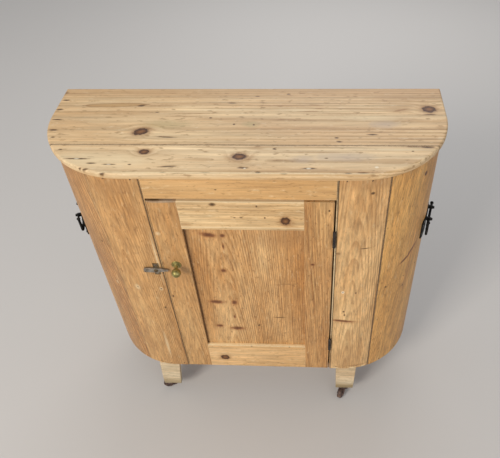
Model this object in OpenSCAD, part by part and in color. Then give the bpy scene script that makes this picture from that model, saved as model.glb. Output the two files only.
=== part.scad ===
// Stripped-pine huffer cupboard (plate warmer) with bowed corners, on four castered feet.
// Millimetres, +Z up, front towards -Y. The origin is on the floor, below the middle of the
// space that the cupboard fills. Plan angles run from the front (0) round a corner to the side (90).

/* [Top] */
// Width of the top
top_w = 1050; // [900:1:1200]
// Depth of the top
top_d = 373; // [330:1:450]
// Thickness of the top boards
top_t = 17; // [14:0.5:24]
// Radius of the top's front corners
corner_r = 243; // [180:1:260]
// Overhang of the top past the front and sides
overhang = 11; // [6:0.5:20]
// Depth of the rear top board, which is the wide one
top_rear_d = 258; // [200:1:290]
// Rounding of the top's upper edge
nose_r = 5; // [2:0.5:7]
// Rounding of the top's lower edge
under_r = 2.5; // [1:0.5:5]

/* [Body] */
// Height of the staves, from their lower ends to the underside of the top
body_h = 844; // [700:1:950]
// Thickness of the staves
stave_t = 16; // [12:0.5:18]
// Angle round the left corner at which the front stave ends
left_seam = 25; // [15:0.5:40]
// Angle round the right corner at which the front stave ends
right_seam = 22; // [15:0.5:40]
// Shrinkage gap between neighbouring boards
seam_gap = 1; // [0.4:0.1:2]
// Clearance of a piece that is bedded on a curved inner face
bed_gap = 0.2; // [0.1:0.05:0.5]

/* [Frame inside] */
// Height of the frieze rail above the door
frieze_h = 71; // [50:1:90]
// Width of the door posts behind the staves
door_post_w = 22; // [14:1:30]
// How far the door stops reach into the opening
stop_lap = 14; // [12:0.5:20]
// Thickness of the door stops
stop_t = 12; // [8:0.5:18]
// Thickness of the base boards
base_t = 20; // [16:0.5:26]
// Depth of the front base board
base_front_d = 118; // [90:1:160]
// Thickness of the shelf boards
shelf_t = 20; // [16:0.5:26]
// Depth of the front shelf board
shelf_front_d = 112; // [90:1:150]
// Height of the shelf's upper face above the base
shelf_z = 412; // [300:1:520]
// Width of the curved formers that the staves are nailed to
former_w = 46; // [35:1:60]
// Thickness of the formers
former_t = 24; // [18:1:30]
// Width of the rear posts, across the back
post_w = 24; // [18:1:34]
// Depth of the rear posts
post_d = 40; // [30:1:60]
// Height of the rear top rail
rear_rail_h = 46; // [35:1:70]
// Thickness of the rear top rail
rear_rail_t = 20; // [16:1:26]
// Thickness of the tin lining
tin_t = 0.6; // [0.4:0.1:1]

/* [Door] */
// Flat width of a front stave between the door opening and the corner's curve
stave_flat = 39; // [32:1:70]
// Width of the jamb strip that shows beside the door
strip_w = 2.8; // [2:0.1:4]
// Open seam between a jamb strip and the stave beside it
strip_seam = 1; // [0.6:0.1:1.6]
// How far the jamb strips lie behind the staves' face
strip_set = 1; // [0.5:0.1:3]
// Gap between the door's lock side and the jamb strip
lock_gap = 1.4; // [1.2:0.1:4]
// Gap between the door's hinge side and the jamb strip
hinge_gap = 4.7; // [4.2:0.1:6]
// Gap between the frieze rail and the door
head_gap = 8; // [3:0.5:12]
// Height of the door's lower edge above the staves' lower ends
sill_gap = 2; // [1:0.5:6]
// Thickness of the door frame
door_t = 22; // [20:0.5:26]
// Width of the stiles
stile_w = 76; // [65:1:90]
// Height of the door's top rail
door_top_h = 99; // [75:1:120]
// Height of the door's bottom rail
door_bottom_h = 124; // [90:1:150]
// Thickness of the panel
panel_t = 7; // [5:0.5:9]
// Distance of the panel behind the door's face
panel_set = 9; // [6:0.5:10]
// Depth of the grooves that hold the panel
groove_d = 9; // [6:0.5:12]
// Thickness of the rails' tenons
tenon_t = 7; // [5:0.5:9]
// Length of the tenons
tenon_l = 52; // [30:1:58]
// Shoulder above and below a tenon
tenon_shoulder = 16; // [12:1:25]
// Clearance of the panel and tenons in the wood around them
joint_gap = 0.3; // [0.1:0.05:0.5]
// Clearance between the closed door and what it shuts against
shut_gap = 1.4; // [1:0.1:3]

/* [Door hardware] */
// Length of a hinge
hinge_l = 57; // [45:1:70]
// Radius of a hinge pin
pin_r = 2; // [1.5:0.1:2.4]
// Radial clearance of the hinge pin
pin_gap = 0.05; // [0.02:0.01:0.1]
// Outer radius of the hinge knuckles
knuckle_r = 4.25; // [4:0.05:4.4]
// Thickness of a hinge leaf
leaf_t = 1.6; // [1.2:0.1:2]
// Width of a leaf on the wood
leaf_w = 11.5; // [9:0.5:12]
// Clearance between hinge knuckles
knuckle_gap = 0.3; // [0.2:0.05:0.5]
// Height of the lower hinge's middle above the staves' lower ends
hinge_low = 150; // [110:1:260]
// Distance of the upper hinge's middle below the door's top
hinge_top_in = 128; // [70:1:250]
// Radius of the knob's ball
ball_r = 13; // [11:0.5:18]
// Distance of the ball's middle in front of the door
ball_reach = 31; // [26:0.5:38]
// Angle by which the old knob leans towards the hinges
knob_lean = 11; // [0:0.5:14]
// Radius of the knob's rose
rose_r = 14; // [12:0.5:20]
// Height of the knob above the staves' lower ends
knob_z = 524; // [400:1:620]
// Radius of the knob's screw shank
shank_r = 3; // [2:0.1:4]
// Length of the knob's shank in the wood
shank_l = 18; // [12:0.5:20]

/* [Turn button] */
// Height of the turn button above the staves' lower ends
button_z = 506; // [400:1:620]
// Distance of the button's pivot from the edge of the stave
button_set = 16.5; // [13:0.5:22]
// Length of the turn button
button_l = 70; // [60:1:74]
// Width of the button at its middle
button_w = 17; // [13:0.5:19]
// Width of the button's blunt thumb end
thumb_w = 15; // [10:0.5:17]
// Rounding of the thumb end's corners
thumb_r = 4; // [2:0.5:4.5]
// Radius of the button's catch end
catch_r = 3; // [2:0.5:6]
// Thickness of the turn button
button_t = 5; // [3:0.5:7]
// Width of the button's plate
button_plate_w = 16; // [14:0.5:22]
// Height of the button's plate
button_plate_h = 46; // [38:1:56]
// Thickness of the button's plate
button_plate_t = 2.5; // [1.5:0.1:4]
// Radius of the rivet that the button turns on
rivet_r = 3; // [2:0.1:4]

/* [Side handles] */
// Angle round the corner of a handle's middle
handle_angle = 76; // [64:0.5:76]
// Height of the bail's axis above the staves' lower ends
handle_z = 570; // [450:1:680]
// Thickness of the handle plate
plate_t = 3.5; // [2.5:0.5:4]
// Length of the handle plate along the wall
plate_w = 110; // [102:1:110]
// Height of the handle plate
plate_h = 67; // [56:1:72]
// Rounding of the plate's corners
plate_corner = 6; // [3:0.5:10]
// Distance of the plate's middle below the bail's axis
plate_fall = 26; // [22:0.5:28]
// Distance of the plate's screws from its ends
screw_end = 7; // [6:0.5:10]
// Distance of the plate's screws from its upper and lower edges
screw_side = 9.5; // [7:0.5:14]
// Distance of the bail's axis from the wall
axis_out = 10; // [9.5:0.5:14]
// Radius of an ear round the bail's pin
ear_r = 5.2; // [4.6:0.1:6]
// Distance of an ear's tip from the wall
ear_reach = 19.6; // [17:0.2:22]
// Radius of an ear's tip
ear_tip_r = 2.8; // [2:0.1:3.4]
// Thickness of an ear
ear_t = 6; // [4.5:0.5:7]
// Distance of an ear's middle from the handle's middle
ear_set = 25.3; // [23:0.1:27]
// Radius of the bail's pins
bail_pin_r = 2.6; // [2:0.1:3.2]
// Radius of the bail's shoulders
shoulder_r = 5.2; // [4.6:0.1:6]
// Distance of a shoulder from the handle's middle
shoulder_set = 43.3; // [40:0.1:46]
// Radius of the bail's rod
bail_r = 3.8; // [3:0.1:4.2]
// Swelling of the bail's turned grip
grip_swell = 1; // [0.4:0.1:1.2]
// Drop of the bail's grip below its axis
bail_drop = 49; // [42:1:54]

/* [Feet and casters] */
// Height of a foot
foot_h = 146; // [110:1:170]
// Width of a foot across the front, at its top
foot_w = 68; // [60:1:80]
// Width of a foot at its bottom
foot_low_w = 60; // [54:1:68]
// How far the left front foot's bottom leans outwards
left_foot_lean = 13; // [0:1:18]
// Thickness of a foot's front board
foot_board_t = 20; // [16:1:24]
// How far the block behind the board is set in from its inner side
foot_block_in = 18; // [10:1:24]
// Depth of a foot
foot_d = 64; // [56:1:80]
// Distance of a front foot behind the staves' face
foot_set = 4; // [2:0.5:10]
// Straight upper length of a foot's front face
foot_straight = 84; // [50:1:100]
// How far that face curves in at the bottom
foot_inset = 6; // [3:0.5:10]
// Distance of the left front foot's middle from the body's left side
left_foot_in = 202; // [170:1:215]
// Distance of the right front foot's middle from the body's right side
right_foot_in = 217.5; // [170:0.5:230]
// Distance of a rear foot's middle from the body's side
rear_foot_in = 74; // [60:1:130]
// Distance of the rear feet from the back edge
rear_foot_set = 8; // [4:1:20]
// Overall height of a caster
caster_h = 50; // [47:1:58]
// Distance of a front caster's swivel axis behind the foot's face
swivel_in = 26; // [24:0.5:32]
// Radius of a caster wheel
wheel_r = 18; // [15:0.5:19]
// Width of a caster wheel
wheel_w = 16; // [12:0.5:18]
// Distance of a wheel's axle from the swivel's axis
trail = 26; // [25:0.5:30]
// Radius of the swivel's stud
stud_r = 4; // [3:0.25:5]
// Radius of a wheel's axle
axle_r = 3; // [2:0.25:3.5]
// Radial clearance of studs and pins that turn
turn_gap = 0.06; // [0.03:0.01:0.1]
// Rest direction of the left front wheel, from the front towards the left
left_front_turn = 90; // [0:5:355]
// Rest direction of the right front wheel, from the front towards the left
right_front_turn = 25; // [0:5:355]
// Rest direction of the left rear wheel, from the front towards the left
left_rear_turn = 235; // [0:5:355]
// Rest direction of the right rear wheel, from the front towards the left
right_rear_turn = 120; // [0:5:355]

/* [Hidden] */
// Overlap of joined solids and of cutting tools
eps = 1;
// Steps in an arc that is drawn with points
edge_steps = 6;

// Heights
body_z = caster_h + foot_h;
top_z = body_z + body_h;
base_top = body_z + base_t;
shelf_top = base_top + shelf_z;
shelf_under = shelf_top - shelf_t;
frieze_z = top_z - frieze_h;
door_z = body_z + sill_gap;
door_h = frieze_z - head_gap - door_z;

// Plan of the body
wall_r = corner_r - overhang;
half_w = top_w / 2 - overhang;
body_d = top_d - overhang;
centre_x = top_w / 2 - corner_r;
back_y = (body_d + ball_reach + ball_r) / 2;
front_y = back_y - body_d;
centre_y = front_y + wall_r;
inner = stave_t + bed_gap;
board_in = inner + tin_t + bed_gap;
post_y = back_y - post_d;
post_x = half_w - inner - post_w;

// Door and its hinge axis
jamb = centre_x - stave_flat;
strip_in = jamb - strip_seam - strip_w;
door_left = lock_gap - strip_in;
door_right = strip_in - hinge_gap;
door_w = door_right - door_left;
hinge_x = door_right + hinge_gap / 2;
hinge_y = front_y - knuckle_r - knuckle_gap;
door_back = front_y + door_t;
stop_y = door_back + tin_t + shut_gap;
stop_end = stop_y + stop_t;
panel_y = front_y + panel_set;
rail_w = door_w - 2 * stile_w;
leaf_y = hinge_y + knuckle_r + 2 * knuckle_gap;
hinge_high = door_z + door_h - hinge_top_in - body_z;

// Plain rounds of true cylinders
round_fn = 96;
small_fn = 48;

// Solid with the body's plan, set in by inset, from z for h, closed at back
module slab(inset, z, h, back = back_y) {
  r = wall_r - inset;
  side = half_w - inset;
  translate([-side, centre_y, z]) cube([2 * side, back - centre_y, h]);
  translate([-centre_x, front_y + inset, z]) cube([2 * centre_x, r + eps, h]);
  for (s = [-1, 1]) intersection() {
    translate([s * centre_x, centre_y, z]) cylinder(r = r, h = h, $fn = round_fn);
    translate([s * centre_x - r, centre_y - r, z]) cube([2 * r, r + eps, h]);
  }
}

// Domed head of base radius r and height h, standing on z = 0
module dome(r, h) {
  ball = (r * r + h * h) / (2 * h);
  intersection() {
    translate([0, 0, h - ball]) sphere(r = ball, $fn = small_fn);
    cylinder(r = r + eps, h = h, $fn = small_fn);
  }
}

// Part of a slab between two y planes
module slab_strip(inset, z, h, y_low, y_high) {
  intersection() {
    slab(inset, z, h);
    translate([-top_w, y_low, z - eps]) cube([2 * top_w, y_high - y_low, h + 2 * eps]);
  }
}

// Sector of the corner wall between two plan angles, on the right
module corner_sector(inset, thick, from, to, z, h) {
  translate([centre_x, centre_y, z]) rotate([0, 0, from - 90])
    rotate_extrude(angle = to - from, $fn = round_fn)
      translate([wall_r - inset - thick, 0]) square([thick, h]);
}

// Mirrors a right-hand piece to the side: -1 left, 1 right
module on_side(side) {
  if (side > 0) children();
  else mirror([1, 0, 0]) children();
}

// Band that follows the inside of the wall from x_low round the corner to y_high, on the right
module wall_band(inset, thick, z, h, x_low, y_high) {
  translate([x_low, front_y + inset, z]) cube([centre_x - x_low, thick, h]);
  corner_sector(inset, thick, 0, 90, z, h);
  translate([half_w - inset - thick, centre_y, z]) cube([thick, y_high - centre_y, h]);
}

// Notch in a board behind the closed door
module door_notch(z, h) {
  translate([-jamb, front_y - eps, z - eps]) cube([2 * jamb, stop_y - front_y + eps, h + 2 * eps]);
}

// Notches in a board that the door posts pass through
module post_notches(z, h) {
  for (s = [-1, 1]) on_side(s) translate([jamb - stop_lap, front_y - eps, z - eps])
    cube([stop_lap + door_post_w, stop_end - front_y + eps, h + 2 * eps]);
}

// Points on an arc about [x, y] from angle a to angle b
function arc(x, y, r, a, b) =
  [for (k = [0:edge_steps]) let (t = a + (b - a) * k / edge_steps) [x + r * cos(t), y + r * sin(t)]];

// Points on a quarter circle about [x, y], from angle a on
function quarter(x, y, r, a) = arc(x, y, r, a, a + 90);

// Section of a top board with its moulded edge at x = 0, reaching back by w
module top_section(w) {
  polygon(concat([[-w, 0]], quarter(-under_r, under_r, under_r, -90),
                 quarter(-nose_r, top_t - nose_r, nose_r, 0), [[-w, top_t]]));
}

// The whole top, before it is parted into its two boards
module top_form() {
  translate([-centre_x, centre_y, top_z]) cube([2 * centre_x, back_y - centre_y, top_t]);
  translate([-centre_x, front_y - overhang, top_z]) rotate([90, 0, 90])
    linear_extrude(2 * centre_x) mirror([1, 0]) top_section(corner_r);
  for (s = [-1, 1]) on_side(s) {
    translate([centre_x, centre_y, top_z]) rotate([0, 0, -90])
      rotate_extrude(angle = 90, $fn = round_fn) translate([corner_r, 0]) top_section(corner_r);
    translate([top_w / 2, back_y, top_z]) rotate([90, 0, 0])
      linear_extrude(back_y - centre_y) top_section(corner_r);
  }
}

module top_board(y_low, y_high) {
  color("#d8b27a") intersection() {
    top_form();
    translate([-top_w, y_low, top_z - eps]) cube([2 * top_w, y_high - y_low, top_t + 2 * eps]);
  }
}

module top_rear_board() {
  top_board(back_y - top_rear_d, back_y + eps);
}

module top_front_board() {
  top_board(front_y - overhang - eps, back_y - top_rear_d - seam_gap);
}

// Rail above the door, with a lip that stops it
module frieze_rail() {
  span = strip_in - joint_gap;
  color("#d8b27a") {
    translate([-span, front_y, frieze_z]) cube([2 * span, stop_end - front_y, frieze_h]);
    translate([-span, stop_y, frieze_z - stop_lap]) cube([2 * span, stop_t, stop_lap + eps]);
  }
}

module rear_top_rail() {
  color("#c79d63") translate([-post_x, back_y - rear_rail_t, top_z - rear_rail_h])
    cube([2 * post_x, rear_rail_t, rear_rail_h]);
}

// Base and shelf boards leave room at their ends for the tin lining
module base_rear_board() {
  color("#c9a069") difference() {
    slab_strip(board_in, body_z, base_t, front_y + inner + base_front_d + seam_gap, back_y);
    for (s = [-1, 1]) on_side(s) translate([post_x - joint_gap, post_y - joint_gap, body_z - eps])
      cube([post_w + inner, post_d + inner, base_t + 2 * eps]);
  }
}

module base_front_board() {
  color("#c9a069") difference() {
    slab_strip(board_in, body_z, base_t, front_y, front_y + inner + base_front_d);
    door_notch(body_z, base_t);
  }
}

module shelf_rear_board() {
  color("#c9a069")
    slab_strip(board_in, shelf_under, shelf_t, front_y + inner + shelf_front_d + seam_gap, post_y);
}

module shelf_front_board() {
  color("#c9a069") difference() {
    slab_strip(board_in, shelf_under, shelf_t, front_y, front_y + inner + shelf_front_d);
    door_notch(shelf_under, shelf_t);
    post_notches(shelf_under, shelf_t);
  }
}

module former(side, z) {
  color("#c2955c") on_side(side)
    wall_band(inner, former_w, z, former_t, jamb + door_post_w, post_y);
}

module rear_post(side) {
  color("#c2955c") on_side(side) translate([post_x, post_y, body_z]) cube([post_w, post_d, body_h]);
}

// Post behind a front stave: its strip shows beside the door, and its rebate stops the door.
// A filling closes the lower end of the wide gap on the hinge side
module door_post(side) {
  y = front_y + inner;
  fill = hinge_gap - lock_gap;
  fill_y = front_y + 4 * strip_set;
  color("#c2955c") difference() {
    on_side(side) {
      if (side > 0) translate([strip_in - fill, fill_y, body_z]) cube([fill + eps, stop_y - fill_y, base_t + eps]);
      translate([strip_in, y, base_top])
        cube([jamb + door_post_w - strip_in, stop_end - y, top_z - base_top]);
      translate([strip_in, front_y + strip_set, body_z]) cube([strip_w, inner, top_z - body_z]);
      translate([jamb - stop_lap, stop_y, base_top])
        cube([stop_lap + eps, stop_t, frieze_z - stop_lap - base_top]);
    }
    frame_screws(screw_gap);
  }
}

// Screw holes of a hinge leaf, cut from the wood or the leaf, running towards +X
module hinge_screw_places() {
  for (z = [hinge_low, hinge_high], k = [-1, 0, 1])
    translate([0, leaf_y + leaf_w / 2, body_z + z + k * hinge_l * 0.34]) children();
}

screw_r = 1.6;
screw_head_r = 3.4;
screw_sink = 1.6;
screw_l = 16;
screw_gap = 0.1;

// Countersunk screw that points along +Z, its head flush at z = 0
module wood_screw(grow) {
  cylinder(r1 = screw_head_r + grow, r2 = screw_r + grow, h = screw_sink, $fn = small_fn);
  cylinder(r = screw_r + grow, h = screw_l + grow, $fn = small_fn);
}

module frame_screws(grow) {
  hinge_screw_places() translate([strip_in - leaf_t, 0, 0]) rotate([0, 90, 0]) wood_screw(grow);
}

module door_screws(grow) {
  hinge_screw_places() translate([door_right + leaf_t, 0, 0]) rotate([0, -90, 0]) wood_screw(grow);
}

// Front stave: a flat length beside the door and a carved length round the corner
module front_stave(side, seam) {
  on_side(side) {
    translate([jamb, front_y, body_z]) cube([centre_x - jamb, stave_t, body_h]);
    corner_sector(0, stave_t, 0, seam, body_z, body_h);
  }
}

module left_front_stave() {
  color("#cf9f62") difference() {
    front_stave(-1, left_seam);
    button_fixings(screw_gap);
  }
}

module right_front_stave() {
  color("#cf9f62") difference() {
    front_stave(1, right_seam);
    frame_screws(screw_gap);
  }
}

module corner_stave(side, seam) {
  gap_angle = seam_gap / wall_r * 180 / PI;
  color("#cb9a5c") difference() {
    on_side(side) corner_sector(0, stave_t, seam + gap_angle, 90, body_z, body_h);
    at_handle(side) handle_screw_places() handle_screw(screw_gap);
  }
}

module side_board(side) {
  color("#cb9a5c") on_side(side) translate([half_w - stave_t, centre_y + seam_gap, body_z])
    cube([stave_t, back_y - centre_y - seam_gap, body_h]);
}

// Tin sheets of one side, one in each compartment
module side_lining(side) {
  near = jamb + door_post_w + seam_gap;
  far = post_y - seam_gap;
  color("#9aa0a0") on_side(side) {
    wall_band(inner, tin_t, base_top, shelf_under - former_t - base_top, near, far);
    wall_band(inner, tin_t, shelf_under, top_z - former_t - shelf_under, near, far);
  }
}

// Side outline of a foot: x = 0 is the front face, which curves in, z = 0 the top
module foot_outline() {
  fall = foot_h - foot_straight;
  arc_r = (fall * fall + foot_inset * foot_inset) / (2 * foot_inset);
  translate([0, -foot_straight]) square([foot_d, foot_straight]);
  intersection() {
    translate([0, -foot_h]) square([foot_d, fall + eps]);
    translate([arc_r, -foot_straight]) circle(r = arc_r, $fn = 180);
  }
}

// Front outline of a foot whose inner side is set in by set and whose bottom leans outwards
module foot_front(lean, set) {
  low = foot_low_w / 2;
  polygon([[set - foot_w / 2, 0], [lean + set - low, -foot_h], [lean + low, -foot_h], [foot_w / 2, 0]]);
}

// Foot for the right front corner: a board in front and a narrower block behind it
module foot(lean) {
  color("#dfc49a") for (part = [[0, foot_board_t, 0], [foot_board_t + joint_gap, foot_d, foot_block_in]])
    intersection() {
      translate([-foot_w, 0, body_z]) rotate([90, 0, 90]) linear_extrude(2 * foot_w) foot_outline();
      translate([0, part[1], body_z]) rotate([90, 0, 0])
        linear_extrude(part[1] - part[0]) foot_front(lean, part[2]);
    }
}

module left_front_foot() {
  translate([-left_foot_x, front_y + foot_set, 0]) mirror([1, 0, 0]) foot(left_foot_lean);
}

module right_front_foot() {
  translate([right_foot_x, front_y + foot_set, 0]) foot(0);
}

module rear_foot(side) {
  on_side(side) translate([rear_foot_x, back_y - rear_foot_set, 0]) mirror([0, 1, 0]) foot(0);
}

// Casters: place [x, y] of the swivel axis and rest direction of each
left_foot_x = half_w - left_foot_in;
right_foot_x = half_w - right_foot_in;
rear_foot_x = half_w - rear_foot_in;
front_caster_y = front_y + foot_set + swivel_in;
rear_caster_y = back_y - rear_foot_set - foot_d / 2;
casters = [
  [-left_foot_x - left_foot_lean, front_caster_y, left_front_turn],
  [right_foot_x, front_caster_y, right_front_turn],
  [-rear_foot_x, rear_caster_y, left_rear_turn],
  [rear_foot_x, rear_caster_y, right_rear_turn]
];
plate_r = 24;
caster_plate_t = 4;
hub_r = 21;
hub_low_r = 10.5;
hub_h = 11;
arm_t = 3;
play = 0.5;
boss_r = 6.6;
arm_rise = 11;
hub_top = caster_h - caster_plate_t - play;
hub_low = hub_top - hub_h;
head_r = 7;
head_t = 3;

// Puts a caster's piece, made with its wheel towards -Y, at its place and rest direction
module at_caster(i) {
  translate([casters[i][0], casters[i][1], 0]) rotate([0, 0, -casters[i][2]]) children();
}

// Plates with the riveted studs that the horns turn on
module caster_plates() {
  color("#4a4038") for (i = [0:3]) at_caster(i) {
    translate([0, 0, caster_h - caster_plate_t])
      cylinder(r = plate_r, h = caster_plate_t, $fn = small_fn);
    translate([0, 0, hub_low - play]) cylinder(r = stud_r, h = hub_h + 3 * play, $fn = small_fn);
    translate([0, 0, hub_low - play - head_t]) cylinder(r = head_r, h = head_t, $fn = small_fn);
  }
}

// Side outline of a horn's arm: x towards the wheel, y up
module arm_outline() {
  polygon([
    [-hub_low_r * 0.8, hub_top], [hub_low_r, hub_top], [trail - boss_r * 0.3, wheel_r + arm_rise],
    [trail + boss_r, wheel_r + boss_r * 0.45], [trail + boss_r, wheel_r], [trail - boss_r, wheel_r],
    [hub_low_r * 0.7, hub_low], [-hub_low_r * 0.5, hub_low]
  ]);
  translate([trail, wheel_r]) circle(r = boss_r, $fn = small_fn);
}

// Swivelling horn with its riveted axle
module horn(i) {
  reach = wheel_w / 2 + play + arm_t;
  color("#4a4038") at_caster(i) difference() {
    union() {
      translate([0, 0, hub_low]) cylinder(r1 = hub_low_r, r2 = hub_r, h = hub_h, $fn = small_fn);
      for (s = [-1, 1]) translate([s * (reach - arm_t / 2) - arm_t / 2, 0, 0])
        rotate([90, 0, -90]) translate([0, 0, -arm_t]) linear_extrude(arm_t) arm_outline();
      translate([-reach - play, -trail, wheel_r]) rotate([0, 90, 0])
        cylinder(r = axle_r, h = 2 * (reach + play), $fn = small_fn);
    }
    translate([0, 0, hub_low - eps])
      cylinder(r = stud_r + turn_gap, h = hub_h + 2 * eps, $fn = small_fn);
  }
}

// Turned wheel with a crowned tread and dished sides
module wheel(i) {
  w = wheel_w / 2;
  color("#5a4638") at_caster(i) translate([0, -trail, wheel_r]) rotate([0, 90, 0])
    rotate_extrude($fn = round_fn) polygon([
      [axle_r + turn_gap, -w], [axle_r * 2.4, -w], [axle_r * 2.8, -w + 2], [wheel_r - 5, -w + 2],
      [wheel_r - 4, -w + 0.6], [wheel_r - 1.4, -w + 0.6], [wheel_r - 0.2, -w + 3], [wheel_r, 0],
      [wheel_r - 0.2, w - 3], [wheel_r - 1.4, w - 0.6], [wheel_r - 4, w - 0.6],
      [wheel_r - 5, w - 2], [axle_r * 2.8, w - 2], [axle_r * 2.4, w], [axle_r + turn_gap, w]
    ]);
}

// Hinges: five knuckles, three on the frame's leaf and two on the door's
knuckles = 5;
knuckle_l = hinge_l / knuckles;

// Knuckles from first, every second one, with the strip that joins them to a leaf
module knuckle_row(first, leaf_x) {
  for (k = [first:2:knuckles - 1]) translate([hinge_x, hinge_y, k * knuckle_l + knuckle_gap / 2]) {
    h = knuckle_l - knuckle_gap;
    cylinder(r = knuckle_r, h = h, $fn = small_fn);
    translate([leaf_x - hinge_x, 0, 0]) cube([leaf_t, leaf_y - hinge_y + eps, h]);
  }
}

// One leaf at a hinge's height; first is its lowest knuckle, leaf_x its low side
module hinge_leaf(z, first, leaf_x) {
  color("#3c3733") difference() {
    translate([0, 0, body_z + z - hinge_l / 2]) {
      knuckle_row(first, leaf_x);
      translate([leaf_x, leaf_y, 0]) cube([leaf_t, leaf_w, hinge_l]);
    }
    translate([hinge_x, hinge_y, body_z + z - hinge_l])
      cylinder(r = pin_r + pin_gap, h = 2 * hinge_l, $fn = small_fn);
    frame_screws(screw_gap);
    door_screws(screw_gap);
  }
}

module frame_leaf(z) {
  hinge_leaf(z, 0, strip_in - leaf_t);
}

module door_leaf(z) {
  hinge_leaf(z, 1, door_right);
}

// Pins with small domed tips that sit on the end knuckles
module hinge_pins() {
  tip_h = 2.5;
  color("#3c3733") for (z = [hinge_low, hinge_high])
    translate([hinge_x, hinge_y, body_z + z - hinge_l / 2]) {
      translate([0, 0, -eps]) cylinder(r = pin_r, h = hinge_l + 2 * eps, $fn = small_fn);
      for (end = [0, 1]) translate([0, 0, end * hinge_l]) mirror([0, 0, 1 - end])
        dome(knuckle_r - knuckle_gap, tip_h);
    }
}

module frame_hinge_screws() {
  color("#5b5650") frame_screws(0);
}

module door_hinge_screws() {
  color("#5b5650") door_screws(0);
}

// Door frame: stiles run through, rails are tenoned into them
module tenon(grow, h) {
  translate([-tenon_l - grow, -tenon_t / 2 - grow, tenon_shoulder - grow])
    cube([tenon_l + grow + eps, tenon_t + 2 * grow, h - 2 * tenon_shoulder + 2 * grow]);
}

// Tenons of both rails at the lock side (-1) or the hinge side (1), in the door's place
module rail_tenons(side, grow) {
  edge = side < 0 ? door_left + stile_w : door_right - stile_w;
  for (row = [[door_z, door_bottom_h], [door_z + door_h - door_top_h, door_top_h]])
    translate([edge, panel_y + panel_t / 2, row[0]]) mirror([side > 0 ? 1 : 0, 0, 0])
      tenon(grow, row[1]);
}

// Groove round the panel, and the panel itself when grow is 0
module panel_form(grow) {
  depth = groove_d + grow - joint_gap;
  translate([door_left + stile_w - depth, panel_y - grow / 2, door_z + door_bottom_h - depth])
    cube([rail_w + 2 * depth, panel_t + grow, door_h - door_bottom_h - door_top_h + 2 * depth]);
}

module stile(side) {
  x = side < 0 ? door_left : door_right - stile_w;
  color("#cb9458") difference() {
    translate([x, front_y, door_z]) cube([stile_w, door_t, door_h]);
    panel_form(joint_gap);
    rail_tenons(side, joint_gap);
    door_screws(screw_gap);
    knob_place() rotate([-90, 0, 0]) cylinder(r = shank_r + screw_gap, h = shank_l + play, $fn = small_fn);
  }
}

module door_rail(z, h) {
  color("#dab67e") difference() {
    union() {
      translate([door_left + stile_w, front_y, z]) cube([rail_w, door_t, h]);
      intersection() {
        for (s = [-1, 1]) rail_tenons(s, 0);
        translate([door_left, front_y, z]) cube([door_w, door_t, h]);
      }
    }
    panel_form(joint_gap);
  }
}

module door_top_rail() {
  door_rail(door_z + door_h - door_top_h, door_top_h);
}

module door_bottom_rail() {
  door_rail(door_z, door_bottom_h);
}

module door_panel() {
  color("#c58d52") panel_form(0);
}

// Tin sheet on the inside of the door
module door_lining() {
  margin = 14;
  color("#9aa0a0") translate([door_left + margin, door_back, door_z + margin])
    cube([door_w - 2 * margin, tin_t, door_h - 2 * margin]);
}

// Middle of the knob on the door's face
module knob_place() {
  translate([door_left + stile_w / 2, front_y, body_z + knob_z]) children();
}

rose_t = 4;
rose_rim = 1.2;
rose_step = 5;
neck_r = 6;
collar_t = 2.4;

// Rose with a flat rim and a raised middle
module knob_rose() {
  color("#8f8350") knob_place() rotate([90, 0, 0]) difference() {
    rotate_extrude($fn = round_fn) polygon([
      [0, 0], [rose_r, 0], [rose_r, rose_rim], [rose_r - rose_rim, 2 * rose_rim],
      [rose_r - rose_step + eps, 2 * rose_rim], [rose_r - rose_step, rose_t], [0, rose_t]
    ]);
    translate([0, 0, -eps]) cylinder(r = shank_r + screw_gap, h = rose_t + 2 * eps, $fn = small_fn);
  }
}

// Turned knob: shank and collar, and a waisted neck with its ball that leans
module knob() {
  neck_l = (ball_reach - rose_t - collar_t / 2) / cos(knob_lean);
  color("#a3965a") knob_place() rotate([90, 0, 0]) {
    translate([0, 0, -shank_l]) cylinder(r = shank_r, h = shank_l + rose_t + eps, $fn = small_fn);
    rotate_extrude($fn = round_fn) polygon([
      [0, rose_t], [neck_r + 1.6, rose_t], [neck_r + 2, rose_t + collar_t / 2],
      [neck_r + 1.2, rose_t + collar_t], [0, rose_t + collar_t]
    ]);
    translate([0, 0, rose_t + collar_t / 2]) rotate([0, knob_lean, 0]) {
      rotate_extrude($fn = round_fn) polygon([
        [0, 0], [neck_r - 1, 0], [neck_r - 0.6, collar_t], [neck_r - 1.4, neck_l / 3],
        [neck_r - 0.4, neck_l - ball_r + 2], [0, neck_l - ball_r + 3]
      ]);
      translate([0, 0, neck_l]) sphere(r = ball_r, $fn = round_fn);
    }
  }
}

// Turn button on its plate
button_x = -jamb - button_set;
button_y = front_y - button_plate_t;
button_run = 0.4;
screw_edge = 7;
rivet_head_r = 6;
rivet_head_t = 3.2;

// Screws of the plate, flush with its face, so that the bar turns over them
module button_fixings(grow) {
  for (s = [-1, 1]) translate([button_x, button_y, body_z + button_z + s * (button_plate_h / 2 - screw_edge)])
    rotate([-90, 0, 0]) wood_screw(grow);
}

module button_plate() {
  stud = button_run + button_t + button_run;
  color("#57504a") {
    difference() {
      translate([button_x - button_plate_w / 2, button_y, body_z + button_z - button_plate_h / 2])
        cube([button_plate_w, button_plate_t, button_plate_h]);
      button_fixings(screw_gap);
    }
    translate([button_x, button_y, body_z + button_z]) rotate([90, 0, 0]) {
      translate([0, 0, -1]) cylinder(r = rivet_r, h = stud + 1 + eps, $fn = small_fn);
      translate([0, 0, stud]) dome(rivet_head_r, rivet_head_t);
    }
  }
}

module button_screws() {
  color("#5b5650") button_fixings(0);
}

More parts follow.
